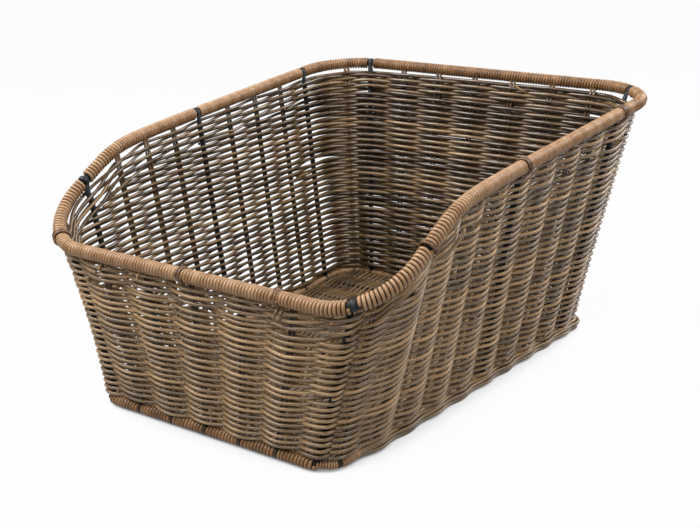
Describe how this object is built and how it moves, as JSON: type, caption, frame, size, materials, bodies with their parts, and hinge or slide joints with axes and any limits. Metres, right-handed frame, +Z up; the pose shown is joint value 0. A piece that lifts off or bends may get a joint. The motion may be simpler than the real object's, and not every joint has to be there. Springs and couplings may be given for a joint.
{
  "type": "rear bicycle basket",
  "caption": "Open woven cane carrier basket on a steel frame, with a low level front, climbing sides, a high rear and a bound rim.",
  "frame": {"origin": "middle of the bounding box's bottom, on the surface that the floor stands on", "axes": "+Z up, +Y to the high rear end, X across the width"},
  "size_m": [0.3736, 0.4614, 0.2301],
  "materials": {
    "black_steel": "glossy black coating",
    "binding_cane": "satin brown synthetic cane",
    "stake_cane": "satin dark brown synthetic cane",
    "woven_cane": "satin umber synthetic cane, mixed shades"
  },
  "bodies": {
    "root": {"base_binding_front": "binding_cane", "base_rod": "black_steel", "floor_rib_front": "black_steel", "floor_rib_middle": "black_steel", "floor_rib_rear": "black_steel", "rim_binding_front": "binding_cane", "rim_binding_front_corner_left": "binding_cane", "rim_binding_front_corner_right": "binding_cane", "rim_binding_rear": "binding_cane", "rim_binding_rear_corner_left": "binding_cane", "rim_binding_rear_corner_right": "binding_cane", "rim_binding_side_front_left": "binding_cane", "rim_binding_side_front_right": "binding_cane", "rim_binding_side_rear_left": "binding_cane", "rim_binding_side_rear_right": "binding_cane", "rim_rod": "black_steel", "steel_stake_front_left": "black_steel", "steel_stake_front_right": "black_steel", "steel_stake_rear_left": "black_steel", "steel_stake_rear_right": "black_steel", "steel_stake_side_front_left": "black_steel", "steel_stake_side_front_right": "black_steel", "steel_stake_side_middle_left": "black_steel", "steel_stake_side_middle_right": "black_steel", "steel_stake_side_rear_left": "black_steel", "steel_stake_side_rear_right": "black_steel", "wicker_stake_front_1": "stake_cane", "wicker_stake_front_2": "stake_cane", "wicker_stake_front_3": "stake_cane", "wicker_stake_front_4": "stake_cane", "wicker_stake_front_5": "stake_cane", "wicker_stake_front_corner_left": "stake_cane", "wicker_stake_front_corner_right": "stake_cane", "wicker_stake_rear_1": "stake_cane", "wicker_stake_rear_2": "stake_cane", "wicker_stake_rear_3": "stake_cane", "wicker_stake_rear_4": "stake_cane", "wicker_stake_rear_5": "stake_cane", "wicker_stake_rear_6": "stake_cane", "wicker_stake_rear_corner_left": "stake_cane", "wicker_stake_rear_corner_right": "stake_cane", "wicker_stake_side_front_left_1": "stake_cane", "wicker_stake_side_front_left_2": "stake_cane", "wicker_stake_side_front_left_3": "stake_cane", "wicker_stake_side_front_right_1": "stake_cane", "wicker_stake_side_front_right_2": "stake_cane", "wicker_stake_side_front_right_3": "stake_cane", "wicker_stake_side_rear_left_1": "stake_cane", "wicker_stake_side_rear_left_2": "stake_cane", "wicker_stake_side_rear_left_3": "stake_cane", "wicker_stake_side_rear_right_1": "stake_cane", "wicker_stake_side_rear_right_2": "stake_cane", "wicker_stake_side_rear_right_3": "stake_cane", "woven_floor": "woven_cane", "woven_wall": "woven_cane"}
  },
  "joints": []
}
